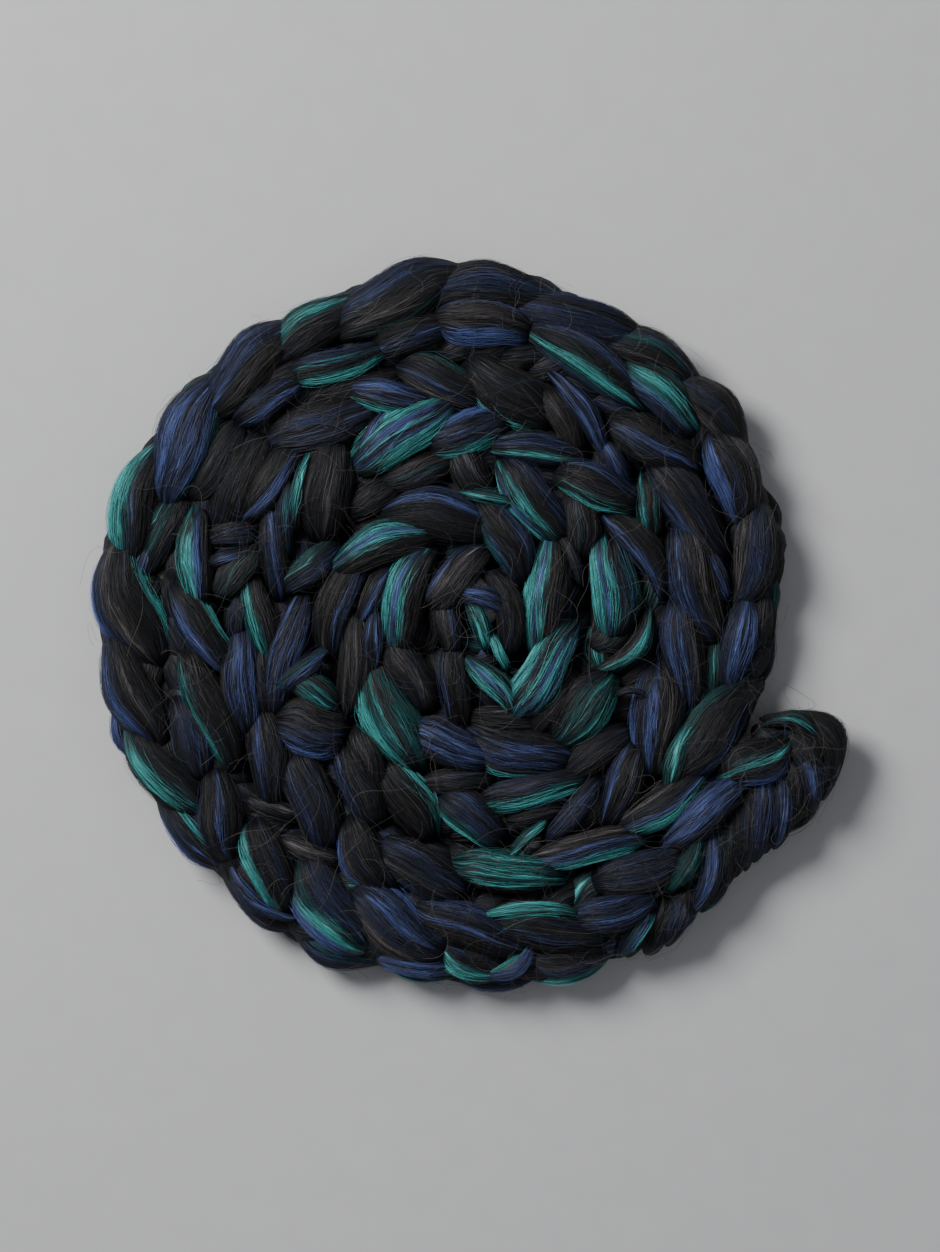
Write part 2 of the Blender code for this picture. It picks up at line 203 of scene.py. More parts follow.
FOLDS["round_2_outer"] = (
    (3, 115, 37, 90, 24, 0, 0.45, 31, "KKKKKGKKKT"),
    (-28, 114, 7, 99, 18, 2, 0.45, 30, "DKKKNKBNPG"),
    (-51, 104, -14, 98, 13, 0, 0.4, 31, "NBBBGBNBKTT"),
    (-72, 99, -30, 112, 12, 0, 0.5, 26, "KGKK"),
    (-87, 80, -40, 97, 22, 1, 0.45, 30, "KKGNBNGBNGNGK"),
    (-101, 47, -76, 79, 16, 0, 0.45, 30, "KKGKKKBBBNK"),
    (-113, 38, -96, 40, 11, 0, 0.5, 29, "GKNGNG"),
    (-113, 27, -97, 32, 7, 0, 0.4, 30, "NBBK"),
    (-110, 14, -95, 32, 13, 0, 0.4, 31, "GDGTGDG"),
    (-88, -14, -96, 19, 14, 1, 0.5, 30, "DTTTDKKGKK"),
    (-104, -6, -101, 12, 7, 0, 0.5, 28, "NGN"),
    (-98, -49, -101, -4, 15, 1, 0.5, 31, "GNBBBBBNBBN"),
    (-86, -82, -92, -40, 17, 0, 0.5, 30, "KNBBNKNKNKK"),
    (-98, -80, -76, -88, 7, 0, 0.5, 25, "GPGKG"),
    (-81, -99, -57, -108, 7, 0, 0.5, 27, "GPGG"),
    (-63, -101, -76, -60, 20, 0, 0.6, 31, "GNBNGKGNGNK"),
    (-34, -119, -51, -90, 19, 3, 0.55, 31, "BGKKKGKKKKK"),
    (-37, -102, -2, -121, 20, -1, 0.4, 31, "KNNBNGNGGKN"),
    (-2, -110, 42, -115, 17, 1, 0.4, 32, "DTTDTTDTTDTTK"),
    (30, -107, 80, -96, 13, 0, 0.5, 31, "GPGKBBNBTT"),
    (70, -93, 106, -67, 15, -2, 0.45, 31, "KPGKKNBBTTTT"),
    (37, 102, 50, 78, 12, 1, 0.4, 31, "KKKGPGG"),
    (39, 109, 61, 74, 9, 4, 0.45, 32, "NBBNBBN"),
    (62, 79, 71, 66, 8, 0, 0.5, 30, "NBBN"),
    (84, 41, 81, 63, 11, 0, 0.5, 29, "DTDKTDK"),
    (63, 46, 87, 12, 13, 6, 0.45, 31, "KKKKKNBBN"),
    (66, -6, 63, 36, 20, -2, 0.55, 33, "TTTBTTTNKNDBD"),
    (56, -18, 78, 7, 8, -11, 0.5, 30, "KGTTTD"),
    (58, -10, 75, -2, 12, 0, 0.5, 26, "KGKDK"),
)
FOLDS["round_2_inner"] = (
    (65, 89, 104, 69, 17, 1, 0.45, 31, "KKGKBBNNKK"),
    (116, 29, 86, 71, 20, 0, 0.6, 31, "NBNGGKGNKNKNK"),
    (113, -8, 97, 42, 21, 2, 0.6, 32, "NBNBNNGKGPGKG"),
    (117, 12, 106, 35, 8, 0, 0.5, 28, "NBBN"),
    (101, -39, 96, 9, 17, 0, 0.6, 31, "NBBNBBNGPKK"),
    (110, -33, 113, -9, 10, 0, 0.5, 25, "KDTDK"),
    (84, -68, 87, -21, 22, 0, 0.6, 32, "BNKBBBKGPGKN"),
    (70, -37, 78, -38, 3, 7, 0.5, 33, "GBG"),
    (64, -90, 77, -56, 15, 0, 0.6, 31, "NBKGKNPNKK"),
    (37, -98, 60, -71, 9, 0, 0.5, 30, "NNBNN"),
    (21, -104, 34, -91, 5, 0, 0.5, 30, "DTTD"),
    (46, -94, 62, -74, 14, 0, 0.5, 26, "KKGKK"),
    (9, -80, 53, -70, 14, 0, 0.4, 32, "NGBGNDTTTT"),
    (20, -87, 44, -82, 13, 0, 0.5, 28, "KGKGK"),
    (-9, -79, 15, -97, 18, 0, 0.45, 31, "KNBNNGNNBDT"),
    (-17, -95, -35, -64, 20, 0, 0.55, 31, "KKGKGKKKKKTT"),
    (-41, -90, -53, -57, 19, 0, 0.55, 31, "NBKKGKKKKK"),
    (-40, -72, -48, -51, 12, 0, 0.5, 32, "KKGGKKK"),
    (-82, -46, -57, -50, 25, 0, 0.5, 33, "GGKGGKBNBNBB"),
    (-84, -30, -64, -13, 8, 0, 0.5, 33, "NDBBN"),
    (-60, -37, -77, -24, 12, 0, 0.5, 32, "DTDTDGD"),
    (-85, -41, -72, 12, 14, 3, 0.5, 31, "NBNGBNBNBN"),
    (-90, -42, -93, -12, 8, 0, 0.5, 28, "KGKG"),
    (-84, 12, -88, 50, 11, 0, 0.5, 30, "KNNBBNGK"),
    (-76, 43, -70, 73, 5, 3, 0.5, 33, "DTTTG"),
    (-79, 32, -79, 63, 6, 2, 0.5, 31, "NDBN"),
    (-65, 39, -61, 80, 24, 0, 0.5, 33, "GKGKKGGKKKK"),
    (-48, 71, -8, 98, 21, 0, 0.4, 34, "TTTBBTNBTTTT"),
    (-48, 76, -36, 92, 6, 1, 0.5, 31, "NBBN"),
    (-15, 80, 18, 89, 18, 1, 0.4, 32, "BBNNKBNGNTT"),
    (13, 79, 53, 75, 13, 1, 0.4, 31, "KBNBNKTTN"),
    (-37, 63, -5, 73, 14, 0, 0.5, 29, "KGKDKK"),
    (-54, 50, -30, 62, 14, 0, 0.5, 27, "KKKGK"),
    (-4, 77, 8, 58, 15, 0, 0.5, 30, "KGGKKK"),
    (18, 71, 43, 38, 20, 0, 0.5, 33, "NNBNKKKDTTDBT"),
    (43, 65, 75, 52, 17, 3, 0.45, 33, "NBKKKKKKTKT"),
    (52, 31, 50, 56, 17, 0, 0.5, 30, "KGKGDKGKGK"),
)
FOLDS["round_3_and_middle"] = (
    (-35, 46, 11, 39, 21, 6, 0.5, 35, "NBBKKKKKKKK"),
    (1, 58, 22, 53, 5, 0, 0.5, 32, "DTTD"),
    (24, 19, 7, 52, 17, -4, 0.5, 35, "DBKKKKKKNBN"),
    (33, -13, 38, 36, 19, -1, 0.45, 34, "TTTBTTKGGKK"),
    (50, 19, 42, 37, 5, -2, 0.5, 30, "KGK"),
    (22, -40, 47, -2, 18, 0, 0.35, 36, "TTTNKTTBTTBT"),
    (22, -40, 2, -19, 9, -2, 0.5, 35, "TTBTTD"),
    (41, -51, 63, -25, 22, -2, 0.5, 33, "KGKDDDTDDTDT"),
    (29, -49, 49, -23, 13, 0, 0.5, 30, "KGKKGK"),
    (3, -48, 47, -60, 22, -5, 0.5, 32, "KGKNBBNBNBNGT"),
    (45, -67, 72, -50, 16, 0, 0.5, 30, "KGKNKGGKK"),
    (2, -42, 34, -46, 11, 0, 0.5, 29, "KGKGK"),
    (-22, -50, 9, -62, 19, 1, 0.4, 33, "NBBBBBNBBNK"),
    (-17, -72, 10, -71, 11, 0, 0.5, 29, "KGNKKK"),
    (-21, -64, -41, -19, 22, 4, 0.45, 34, "TTTDDTGDTDDDD"),
    (-17, -38, -34, -9, 17, 0, 0.5, 32, "NKNKGPGKKK"),
    (-4, -46, -6, -11, 13, 0, 0.5, 31, "NBKKGKKK"),
    (-52, -40, -48, 5, 15, 0, 0.5, 32, "KGGKPGKGGK"),
    (-42, -21, -41, 5, 8, 0, 0.5, 33, "NBNBN"),
    (-60, -15, -47, 28, 17, 5, 0.5, 32, "KKKGGKKBNBK"),
    (-47, 2, -36, 23, 8, 0, 0.5, 33, "KNBBN"),
    (-57, 22, -14, 37, 17, 6, 0.45, 35, "DTTBTTKKKGKG"),
    (-29, -13, -15, 32, 19, 6, 0.5, 35, "TTTBTTKKGKK"),
    (-14, 8, 8, 31, 17, 1, 0.4, 36, "NBGPGPKGPK"),
    (-7, -11, -9, 9, 12, 0, 0.5, 33, "KGPGBNK"),
    (-3, 12, 18, 4, 9, 3, 0.5, 36, "NBBBBN"),
    (9, -9, 3, 8, 8, 0, 0.5, 34, "DTTTD"),
    (16, -14, 7, 20, 13, -9, 0.5, 35, "KKKKKGK"),
    (17, -18, 12, -7, 4, 0, 0.5, 33, "TTT"),
    (-80, 16, -60, 33, 13, 0, 0.45, 31, "DTDKNNBNK"),
)


def leaf_share(along, widest):
    """Share of a fold's greatest width left at each place along it.

    A half sine wave from end to end, with its crest moved to `widest`, raised to LEAF_POWER.
    """
    before = along / (2 * widest)
    after = 0.5 + (along - widest) / (2 * (1 - widest))
    return np.sin(np.pi * np.where(along < widest, before, after)) ** LEAF_POWER


def sliver_ridges(turn, along, draw):
    """Relief of the slivers that a fold is made of, as a share of its half width.

    Two sets of rounded ridges run along the fold, 3 to 7 wide ones and 9 to 16 narrow ones.
    A ridge is the size of a sine wave of the place round the fold, so that the creases
    between ridges are sharp. Slow waves make the ridges uneven and let them wind a little.
    """
    many = turn.shape[:1] + (1, 1)

    def wave(waves, place):
        """A sine wave along `place`, started anywhere."""
        return np.sin(2 * np.pi * (waves * place + draw.uniform(0, 1, many)))

    def ridges(number, place):
        """Rounded ridges with sharp creases, `number` of them in a turn, started anywhere."""
        height = np.abs(np.sin(np.pi * (number * place + draw.uniform(0, 1, many))))
        return height**SLIVER_POWER - 0.5

    bound = SLIVER_UNEVEN
    uneven = sum(draw.uniform(-bound, bound, many) * wave(i, turn) / i for i in (1, 2, 3))
    wind = draw.uniform(-SLIVER_WIND, SLIVER_WIND, many) * along
    sway = SLIVER_SWAY * wave(draw.uniform(*SLIVER_WAVES, many), along)
    place = turn + uneven / (2 * np.pi) + wind + sway
    (wide, high), (narrow, low) = WIDE_SLIVERS, NARROW_SLIVERS
    wide, narrow = draw.integers(*wide, many), draw.integers(*narrow, many)
    coarse, fine = ridges(wide, place), ridges(narrow, place)
    return draw.uniform(*high, many) * coarse + draw.uniform(*low, many) * fine


def fold_columns(rows):
    """The columns of a table of folds as arrays that spread over rings and places."""
    numbers = np.array([row[:-1] for row in rows], float).T
    return numbers[:, :, None, None]


def with_ends(rows, overrun, dip, dive):
    """The same folds with both ends moved outwards by `overrun` mm, and two more columns."""
    longer = []
    for x0, y0, x1, y1, *rest, dyes in rows:
        step = overrun / np.hypot(x1 - x0, y1 - y0)
        dx, dy = step * (x1 - x0), step * (y1 - y0)
        longer.append((x0 - dx, y0 - dy, x1 + dx, y1 + dy, *rest, dip, dive, dyes))
    return longer


def rim_reach(bearing):
    """Distance of the rim from the middle at a bearing in radians: the solid's farthest point."""
    points = np.array([vertex.co[:2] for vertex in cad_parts["roving"].data.vertices]) / MM
    place = np.arctan2(points[:, 1], points[:, 0]) / (2 * np.pi) % 1 * RIM_PLACES
    reach = np.zeros(RIM_PLACES)
    np.maximum.at(reach, place.astype(int), np.hypot(points[:, 0], points[:, 1]))
    closed = np.concatenate([reach[-1:], reach, reach[:1]])
    turns = np.asarray(bearing) / (2 * np.pi) % 1 * RIM_PLACES - 0.5
    return np.interp(turns, np.arange(-1, RIM_PLACES + 1), closed)


def tucked_in(rows):
    """The same folds with their ends moved in from the rim, and bowed out by as much.

    An end that would lie less than TUCK inside the rim moves straight towards the middle of
    the roving until it does.
    """
    tucked = []
    for row in rows:
        ends = np.array(row[:4]).reshape(2, 2)
        radius = np.hypot(*ends.T)
        most = rim_reach(np.arctan2(ends[:, 1], ends[:, 0])) - TUCK
        kept = np.minimum(1.0, most / radius)
        middle, run = ends.mean(axis=0), ends[1] - ends[0]
        outwards = np.sign(run[0] * middle[1] - run[1] * middle[0])
        bow = row[5] + outwards * TUCK_BOW * ((1 - kept) * radius).mean()
        ends = ends * kept[:, None]
        tucked.append((*ends.ravel().tolist(), row[4], float(bow), *row[6:]))
    return tucked


def fold_skin(rows, along, angle, relief=0.0, lift=0.0):
    """Points on the skin of folds, in mm, for places `along` them and angles round them.

    The middle line runs from one end to the other, bowed sideways by a parabola. A
    cross-section stands upright across it: an ellipse, as wide as the leaf shape says and
    FOLD_DEPTH times as high. Its top lies at the crest, which sinks by the dip as the fold
    narrows, and by the dive more in its last sixths. Relief scales the ellipse, and lift
    moves a point out from it. What would reach into the table is pressed flat. Sine waves,
    another for each fold, make its width and its middle line a little uneven.
    """
    x0, y0, x1, y1, width, bow, widest, crest, dip, dive = fold_columns(rows)
    length = np.hypot(x1 - x0, y1 - y0)
    run_x, run_y = (x1 - x0) / length, (y1 - y0) / length
    share = leaf_share(along, widest)
    by_x, by_y, by_sway = OWN_WAVES
    own = 2 * np.pi * (by_x * x0 + by_y * y1)
    half = width / 2 * share * (1 + WOBBLE * np.sin(2 * np.pi * WOBBLE_WAVES * along + own))
    out = half * (1 + relief) + lift
    rise = FOLD_DEPTH * half * (1 + relief) + lift
    sway = WOBBLE * width * along * (1 - along) * 4 * np.sin(2 * np.pi * along + by_sway * own)
    side = 4 * bow * along * (1 - along) + sway + out * np.cos(angle)
    x = x0 + length * along * run_x - side * run_y
    y = y0 + length * along * run_y + side * run_x
    sunk = dip * (1 - share) + dive * np.maximum(np.abs(2 * along - 1) * 3 - 2, 0.0) ** 2
    z = crest - sunk - FOLD_DEPTH * half + rise * np.sin(angle)
    return np.stack(np.broadcast_arrays(x, y, np.maximum(z, FLOOR_GAP)), axis=-1)


def dye_attributes(rows, across):
    """At each point, two dyes and the share of the second between them.

    `across` is the place across the fold, 0 at its left edge and 1 at its right. The dyes of
    a row are bands of equal width. The even bands give the first dye and the odd bands the
    second, and the share is a zigzag between them, so that both stay smooth. Between two
    band middles it is bent towards the darker dye by a parabola, DARK_GAIN high.
    """
    first, second, share = [], [], []
    for row, place in zip(rows, across):
        dyes = np.array([DYES[letter] for letter in row[-1]])
        position = np.clip(place * len(dyes) - 0.5, 0.0, len(dyes) - 1.001)
        band = position.astype(int)
        part = position - band
        first.append(dyes[band + band % 2])
        second.append(dyes[band + 1 - band % 2])
        darker = np.sign(first[-1].sum(axis=-1) - second[-1].sum(axis=-1))
        zigzag = np.where(band % 2 == 0, part, 1 - part)
        share.append(zigzag + DARK_GAIN * darker * 4 * part * (1 - part))
    return {"dye_a": np.array(first), "dye_b": np.array(second), "dye_share": np.array(share)}


def tube_piece(name, points, attributes, material):
    """One object made of many closed tubes, each a grid of rings and places round them.

    Neighbouring places of neighbouring rings make four-cornered faces. The first and the
    last ring shrink to their middle point, which triangles join to the ring beside it.
    Attributes are further values at each place, by name, which the material reads.
    """
    tubes, rings, around = points.shape[:3]
    inner = rings - 2

    def by_point(values):
        """Values on the inner rings, place by place, then at the two end points."""
        values = values.reshape(tubes, rings, around, -1)
        middle = values[:, 1:-1].reshape(tubes, inner * around, -1)
        ends = values[:, [0, -1]].mean(axis=2)
        return np.concatenate([middle, ends], axis=1).reshape(tubes * (inner * around + 2), -1)

    ring, place = np.meshgrid(np.arange(inner - 1) * around, np.arange(around), indexing="ij")
    beside = (place + 1) % around
    here, there = ring + place, ring + beside
    quads = np.stack([here, there, there + around, here + around], axis=-1)
    place, beside, last = place[0], beside[0], (inner - 1) * around
    start = np.stack([np.full(around, inner * around), beside, place], axis=-1)
    finish = np.stack([np.full(around, inner * around + 1), last + place, last + beside], axis=-1)
    shift = np.arange(tubes)[:, None, None] * (inner * around + 2)
    quads = (quads.reshape(-1, 4) + shift).reshape(-1, 4)
    triangles = (np.concatenate([start, finish]) + shift).reshape(-1, 3)

    mesh = bpy.data.meshes.new(name)
    mesh.from_pydata((by_point(points) * MM).tolist(), [], quads.tolist() + triangles.tolist())
    for label, values in attributes.items():
        flat = by_point(values)
        kind, field = ("FLOAT", "value") if flat.shape[1] == 1 else ("FLOAT_VECTOR", "vector")
        mesh.attributes.new(label, kind, "POINT").data.foreach_set(field, flat.ravel())
    mesh.shade_smooth()
    mesh.materials.append(material)
    piece = bpy.data.objects.new(name, mesh)
    bpy.context.scene.collection.objects.link(piece)
    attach(piece, "root")
    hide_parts("roving")


# How the fibres bend: waves a metre, and how far each set of waves bends them, in metres.
FIBRE_BENDS = ((35.0, 0.0100), (110.0, 0.0035), (300.0, 0.0010))

# The streaks that fibres make in a fold's colours. Columns: length and width in metres, and
# the detail of the noise.
STREAKS = {
    "slivers": (0.035, 0.0036, 2.0),
    "strands": (0.030, 0.0013, 1.0),
    "hairs": (0.016, 0.00045, 1.0),
    "pale fibres": (0.034, 0.00060, 0.0),
    "blue fibres": (0.040, 0.00090, 0.0),
    "black fibres": (0.025, 0.00080, 2.0),
    "faded patches": (0.018, 0.0080, 1.0),
}

# How strongly three of them tear the edge between two bands of dye.
TEARS = {"slivers": 2.0, "strands": 2.0, "hairs": 2.6}

# What lies over the dyes, in turn. Columns: streaks, values of the noise at which it begins
# and is full, the most of it there is, and its colour.
OVERLAYS = (
    ("black fibres", 0.44, 0.62, 0.85, DYES["K"]),
    ("faded patches", 0.42, 0.62, 0.85, DYES["K"]),
    ("blue fibres", 0.52, 0.72, 0.24, (0.030, 0.045, 0.110)),
    ("pale fibres", 0.55, 0.75, 0.13, (0.070, 0.066, 0.070)),
)

# How light single hairs and slivers are: the darkest, and how much lighter the lightest is.
HAIR_LIGHT = (0.32, 1.40)
SLIVER_LIGHT = (0.30, 1.10)
LIGHT_EDGE = (0.30, 0.70)       # values of the noise where it is darkest and lightest
DYE_EDGE = (0.15, 0.85)         # shares between which one dye gives way to the next

STRAND_BUMP = 1.2               # height of the bump that strands make
HAIR_BUMP = 0.5                 # and that single hairs make
BUMP_DEPTH = 0.0009             # what a height of 1 stands for, in metres
WOOL_ROUGHNESS = (0.42, 0.20)   # the least, and how much single hairs add
WOOL_SPECULAR = 0.22


def combed_wool(name):
    """Material of dyed wool fibres that lie side by side.

    Noise drawn out along the fibres makes streaks of three sizes. They choose between the
    two dyes at each place, lighten and darken single slivers, and raise the bump. Black
    fibres and faded patches break up the bands, and a few paler fibres lie over all of it.
    """
    material = bpy.data.materials.new(name)
    material.use_nodes = True
    nodes, links = material.node_tree.nodes, material.node_tree.links
    shader = nodes["Principled BSDF"]

    def node(kind, inputs, **settings):
        made = nodes.new("ShaderNode" + kind)
        for label, value in settings.items():
            setattr(made, label, value)
        for socket, value in inputs.items():
            if isinstance(value, bpy.types.NodeSocket):
                links.new(value, made.inputs[socket])
            else:
                made.inputs[socket].default_value = value
        return made

    def attribute(label):
        return node("Attribute", {}, attribute_name=label)

    def maths(operation, *values):
        return node("Math", dict(enumerate(values)), operation=operation).outputs[0]

    def ramp(value, low, high):
        made = node("MapRange", {0: value, 1: low, 2: high}, interpolation_type="SMOOTHSTEP")
        return made.outputs[0]

    def mixed(share, first, second):
        made = node("Mix", {0: share, 6: first, 7: second}, data_type="RGBA")
        return made.outputs[2]

    fibre = attribute("fibre").outputs["Vector"]
    wavy = fibre
    for waves, sideways in FIBRE_BENDS:
        wave = node("TexNoise", {"Vector": fibre, "Scale": waves, "Detail": 1.0})
        bent = {0: wave.outputs["Color"], 1: (0.0, sideways, 0.0)}
        bend = node("VectorMath", bent, operation="MULTIPLY")
        wavy = node("VectorMath", {0: wavy, 1: bend.outputs[0]}, operation="ADD").outputs[0]

    def streaks(length, width, detail):
        """Noise with streaks about `length` by `width` metres, another on each tube."""
        scale = (1 / length, 1 / width, 1 / MM)
        placed = node("Mapping", {"Vector": wavy, "Scale": scale})
        noise = node("TexNoise", {"Vector": placed.outputs[0], "Scale": 1.0, "Detail": detail})
        return noise.outputs["Fac"]

    def lightness(noise, darkest, rise):
        return maths("ADD", darkest, maths("MULTIPLY", ramp(noise, *LIGHT_EDGE), rise))

    noises = {label: streaks(*row) for label, row in STREAKS.items()}
    slivers, strands, hairs = (noises[label] for label in ("slivers", "strands", "hairs"))

    torn = attribute("dye_share").outputs["Fac"]
    for label, strength in TEARS.items():
        tear = maths("MULTIPLY", maths("SUBTRACT", noises[label], 0.5), strength)
        torn = maths("ADD", torn, tear)
    first, second = (attribute(label).outputs["Color"] for label in ("dye_a", "dye_b"))
    dye = mixed(ramp(torn, *DYE_EDGE), first, second)
    for label, begins, full, most, colour in OVERLAYS:
        share = maths("MULTIPLY", ramp(noises[label], begins, full), most)
        dye = mixed(share, dye, (*colour, 1.0))
    light = maths("MULTIPLY", lightness(hairs, *HAIR_LIGHT), lightness(slivers, *SLIVER_LIGHT))
    # The tone attribute is painted shade: it darkens the dyes down the folds' sides, towards their
    # ends, and on the lower pieces.
    light = maths("MULTIPLY", light, attribute("tone").outputs["Fac"])
    lit = node("VectorMath", {0: dye, 3: light}, operation="SCALE").outputs[0]
    links.new(lit, shader.inputs["Base Color"])

    heights = maths("MULTIPLY", strands, STRAND_BUMP), maths("MULTIPLY", hairs, HAIR_BUMP)
    relief = {"Height": maths("ADD", *heights), "Distance": BUMP_DEPTH, "Strength": 1.0}
    bump = node("Bump", relief)
    links.new(bump.outputs[0], shader.inputs["Normal"])
    least, added = WOOL_ROUGHNESS
    rough = maths("ADD", least, maths("MULTIPLY", hairs, added))
    links.new(rough, shader.inputs["Roughness"])
    shader.inputs["Specular IOR Level"].default_value = WOOL_SPECULAR
    return material


def fold_piece(name, rows, rings, places, draw, material, tone=1.0):
    """One object for a table of folds, `rings` cross-sections long and `places` round.

    The dyes are full on a fold's crest, and painted shade darkens them down its sides by
    the painted deep shade share. It darkens them towards its ends too, the more the deeper
    it dives there, and `tone` darkens the whole piece with painted shade as well.
    """
    along = np.linspace(0.0, 1.0, rings)
    along = (along - np.sin(2 * np.pi * along) / RING_SPREAD)[None, :, None]
    turn = (np.arange(places) / places)[None, None, :]
    even_angle = 2 * np.pi * turn - np.pi / 2
    angle = even_angle + TOP_CROWDING * np.cos(even_angle)
    turns = np.broadcast_to(angle / (2 * np.pi), (len(rows), 1, places))
    relief = sliver_ridges(turns, along, draw)
    skin = fold_skin(rows, along, angle, relief)

    many = (len(rows), 1, 1)
    waves = draw.uniform(*BAND_WAVES, many) * along + draw.uniform(0, 1, many)
    sway = BAND_SWAY * np.sin(2 * np.pi * waves)
    sway = sway + draw.uniform(-BAND_DRIFT, BAND_DRIFT, many) * (along - 0.5)
    across = np.broadcast_to((1 - np.cos(angle)) / 2 + sway * np.sin(angle), skin.shape[:3])
    x0, y0, x1, y1, width = fold_columns(rows)[:5]
    dive = fold_columns(rows)[-1]
    run = np.hypot(x1 - x0, y1 - y0) * along
    girth = np.pi * width * (1 + FOLD_DEPTH) / 2
    number = draw.permutation(len(rows))[:, None, None] * FIBRES_APART
    twist = draw.uniform(-TWIST, TWIST, many) * along
    fibre = np.stack(np.broadcast_arrays(run, girth * turn + twist, number), axis=-1)
    # Painted shade: the dyes darken down a fold's sides and towards its ends, where shade falls.
    crown = np.maximum(np.sin(angle), 0.0) ** CROWN_POWER
    crown = crown * np.sin(np.pi * along) ** (dive / PAINTED_END_SHADE)
    painted_shade = np.broadcast_to(tone * (1 - PAINTED_DEEP_SHADE * (1 - crown)), across.shape)
    attributes = {"fibre": fibre * MM, "tone": painted_shade, **dye_attributes(rows, across)}
    tube_piece(name, skin, attributes, material)


wool = combed_wool("combed wool")
draw = np.random.default_rng(12)        # all that is random in the roving is drawn from this
all_folds = []
for group, rows in FOLDS.items():
    rows = with_ends(rows, *FOLD_ENDS.get(group, INSIDE))
    rows = tucked_in(rows) if group == "round_1_outer" else rows
    fold_piece(group, rows, FOLD_RINGS, FOLD_PLACES, draw, wool)
    all_folds += rows


# ---- The loops underneath ----
# Between the folds that come up, the loops of the braid's back and sides show in the gaps,
# lower and darker: their dyes are mostly black, and painted shade darkens them further.
# They lie in pairs along the wound braid, each slanting towards the next.

SPIRAL_START = -25.0    # bearing of the braid's outer end, in degrees anticlockwise from +X
LOOP_PITCH = 17.0       # distance from one pair of loops to the next, in mm
LOOP_LENGTH = 24.0
LOOP_WIDTH = 19.0
LOOP_SLANT = 24.0       # degrees between a loop and the braid's run
LOOP_SIDE = 10.0        # distance of a loop from the middle line of the braid, in mm
LOOP_CREST = 22.0
LOOP_SHADE_TONE = 0.90        # painted shade: the loops' dyes are darkened to this share of the folds' dyes
END_LENGTH = 100.0      # the first stretch of the braid, whose strands fan out instead
LOOP_RINGS = 14
LOOP_PLACES = 16
LOOP_DYES = ("KNKGKK", "KKNBNK", "KGKKNK", "NKKGKK", "KKDTDK", "KNKKGK", "KGKNKK")

# The middle line of the wound braid. Columns: turns wound so far, distance from the middle
# of the roving in mm. The bearing falls by a full circle for each turn.
SPIRAL = (
    (0.0, 150), (0.18, 138), (0.43, 139), (0.68, 138), (0.93, 119), (1.18, 98), (1.43, 91),
    (1.68, 89), (1.93, 76), (2.18, 55), (2.43, 46), (2.68, 46), (2.93, 36), (3.2, 20), (3.5, 4),
)
SPIRAL_POINTS = 2000
SPIRAL_ROUNDING = 121   # how many of the points each distance is averaged over, an odd number


def spiral_stops(pitch):
    """Points along the middle line of the braid, `pitch` mm apart, its bearing and their run.

    The distance from the middle goes in straight steps from row to row of the table, and is
    then averaged over nearby points, so that the line has no corners.
    """
    turns, radii = np.array(SPIRAL, float).T
    turn = np.linspace(turns[0], turns[-1], SPIRAL_POINTS)
    radius = np.pad(np.interp(turn, turns, radii), SPIRAL_ROUNDING // 2, "edge")
    radius = np.convolve(radius, np.full(SPIRAL_ROUNDING, 1 / SPIRAL_ROUNDING), "valid")
    bearing = np.radians(SPIRAL_START - 360 * turn)
    line = np.column_stack([radius * np.cos(bearing), radius * np.sin(bearing)])
    run = np.concatenate([[0.0], np.cumsum(np.linalg.norm(np.diff(line, axis=0), axis=1))])
    stops = np.arange(0.0, run[-1], pitch)
    x, y = (np.interp(stops, run, line[:, axis]) for axis in (0, 1))
    heading = np.arctan2(np.gradient(y), np.gradient(x))
    return np.column_stack([x, y]), heading, stops


def loop_rows(side, slant, crest):
    """A table of loops beside the middle line, `side` mm to its left, in the columns of FOLDS.

    Each loop takes the third row of dyes after the last one's.
    """
    middle, heading, stops = spiral_stops(LOOP_PITCH)
    keep = stops > END_LENGTH
    middle, heading = middle[keep], heading[keep]
    left = np.column_stack([-np.sin(heading), np.cos(heading)])
    aim = heading + np.radians(slant)
    half = np.column_stack([np.cos(aim), np.sin(aim)]) * LOOP_LENGTH / 2
    start, end = middle + left * side - half, middle + left * side + half
    return [
        (*a, *b, LOOP_WIDTH, 0.0, 0.5, crest, LOOP_DYES[(i * 3 + int(side)) % len(LOOP_DYES)])
        for i, (a, b) in enumerate(zip(start.tolist(), end.tolist()))
    ]


for name, side, slant in (
    ("loops_left", LOOP_SIDE, -LOOP_SLANT),
    ("loops_right", -LOOP_SIDE, LOOP_SLANT),
):
    rows = with_ends(loop_rows(side, slant, LOOP_CREST), *INSIDE)
    fold_piece(name, rows, LOOP_RINGS, LOOP_PLACES, draw, wool, LOOP_SHADE_TONE)


# ---- The strands along the rim ----
# Below the outermost folds the outer sides of the loops run on side by side round the rim,
# as long smooth strands, one row on the table and one row above it.

RIM_RADIUS = 150.0      # the rim's usual distance from the middle, in mm
RIM_PITCH = 25.0
# Painted shade: the rim strands' dyes are darkened to this share of the folds', as they lie below
# the outermost folds.
RIM_SHADE_TONE = 0.8
RIM_LENGTH = 42.0
RIM_DYES = ("KNKK", "NBNK", "KKDK", "NNBB", "KGKN", "KTDK", "NBBN", "KKNK", "NKGK")
NOTCH = (-30.0, 1.0)    # bearings between which the outer end leaves no rim, in degrees

# The two rows of strands. Columns: name, how far inside the rim, height of the crest and
# width, all in mm, and how far the row is turned, in radians.
RIM_ROWS = (
    ("rim_strands_low", 7.5, 12.0, 14.0, 0.0),
    ("rim_strands_high", 10.0, 21.0, 16.0, 0.08),
)


